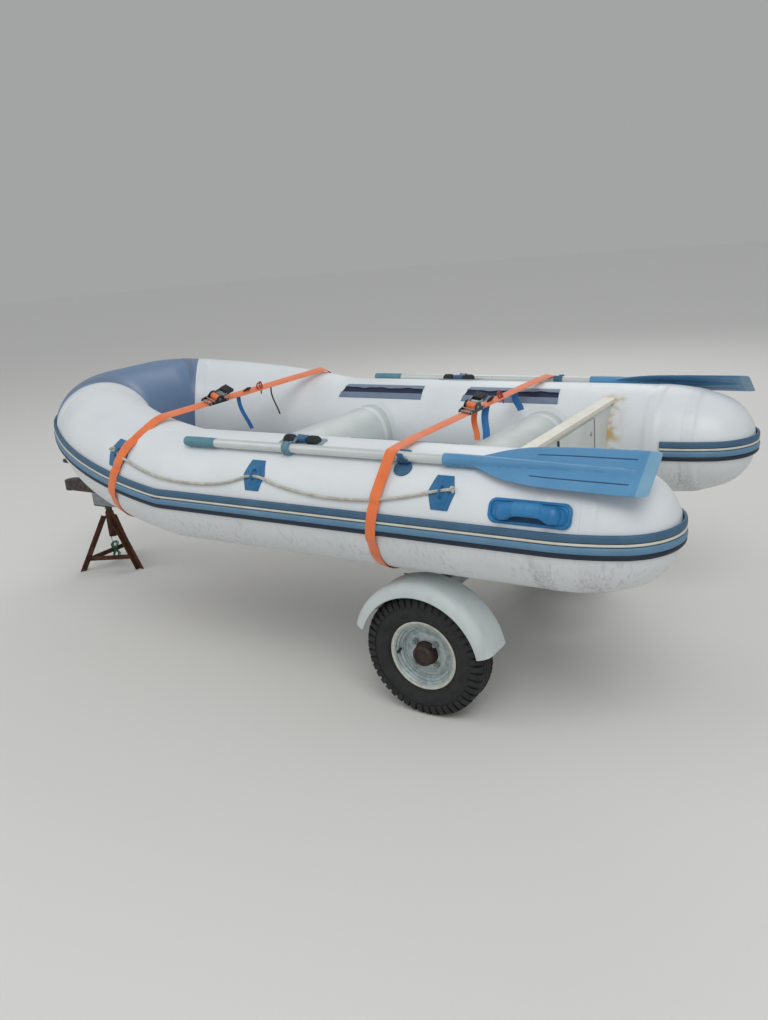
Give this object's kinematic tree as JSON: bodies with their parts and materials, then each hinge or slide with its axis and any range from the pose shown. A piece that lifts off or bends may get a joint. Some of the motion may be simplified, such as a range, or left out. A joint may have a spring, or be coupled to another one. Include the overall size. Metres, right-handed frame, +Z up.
{
  "type": "inflatable rib boat on a road trailer",
  "caption": "Small inflatable boat with a rigid hull, thwarts and oars, strapped down on a single axle road trailer whose drawbar rests on a prop stand.",
  "frame": {"origin": "on the ground under the middle of the whole outline", "axes": "+X forward to the bow and the coupling, +Y to port, +Z up"},
  "size_m": [3.1215, 1.454, 0.9963],
  "materials": {
    "tube_fabric": "coated fabric, semi matt",
    "bow_fabric": "coated fabric, semi matt",
    "strake_rubber": "moulded rubber",
    "hull_laminate": "moulded laminate",
    "deck_panel": "textured deck",
    "transom_board": "painted plywood",
    "transom_trim": "extruded edge trim",
    "thwart_fabric": "coated fabric, semi matt",
    "rail_plastic": "moulded rubber strip",
    "patch_fabric": "coated fabric, semi matt",
    "rope": "braided rope",
    "black_plastic": "moulded",
    "oar_aluminium": "anodised",
    "black_rubber": "moulded grip",
    "blade_plastic": "moulded",
    "webbing": "woven webbing",
    "zinc_steel": "zinc plated",
    "galvanised_steel": "hot dip galvanised",
    "bunk_wood": "bare timber",
    "roller_rubber": "moulded rubber",
    "coupling_steel": "painted pressing",
    "guard_plastic": "moulded",
    "rusty_steel": "rusted angle iron",
    "tyre_rubber": "tyre rubber",
    "rim_paint": "painted pressed steel"
  },
  "bodies": {
    "root": {"port_tube": "tube_fabric", "starboard_tube": "tube_fabric", "bow_tube": "bow_fabric", "rubbing_strake": "strake_rubber", "rigid_hull": "hull_laminate", "deck_panel": "deck_panel", "transom": "transom_board", "transom_cap": "transom_trim", "front_thwart": "thwart_fabric", "rear_thwart": "thwart_fabric", "seat_rails": "rail_plastic", "rope_patches": "patch_fabric", "port_grab_rope": "rope", "starboard_grab_rope": "rope", "carry_handles": "black_plastic", "oar_shafts": "oar_aluminium", "oar_grips": "black_rubber", "oar_blades": "blade_plastic", "rowlocks": "black_plastic", "oar_clips": "black_plastic", "front_strap": "webbing", "rear_strap": "webbing", "strap_ratchets": "zinc_steel", "ratchet_handles": "black_plastic", "spine": "galvanised_steel", "axle_beam": "galvanised_steel", "cross_members": "galvanised_steel", "bunk_boards": "bunk_wood", "keel_rollers": "roller_rubber", "roller_cheeks": "zinc_steel", "winch_post": "galvanised_steel", "bow_snubber": "roller_rubber", "hand_winch": "zinc_steel", "coupling_head": "coupling_steel", "coupling_lever": "coupling_steel", "swing_arms": "galvanised_steel", "mudguards": "guard_plastic", "mudguard_brackets": "galvanised_steel", "prop_stand": "rusty_steel"},
    "wheel_port": {"port_tyre": "tyre_rubber", "port_rim": "rim_paint", "port_hub": "zinc_steel"},
    "wheel_starboard": {"starboard_tyre": "tyre_rubber", "starboard_rim": "rim_paint", "starboard_hub": "zinc_steel"}
  },
  "joints": [
    {"name": "port_wheel_spin", "type": "hinge", "parent": "root", "child": "wheel_port", "pos_m": [-0.7873, 0.575, 0.206], "axis": [0, 1, 0], "continuous": true},
    {"name": "starboard_wheel_spin", "type": "hinge", "parent": "root", "child": "wheel_starboard", "pos_m": [-0.7873, -0.575, 0.206], "axis": [0, 1, 0], "continuous": true}
  ]
}
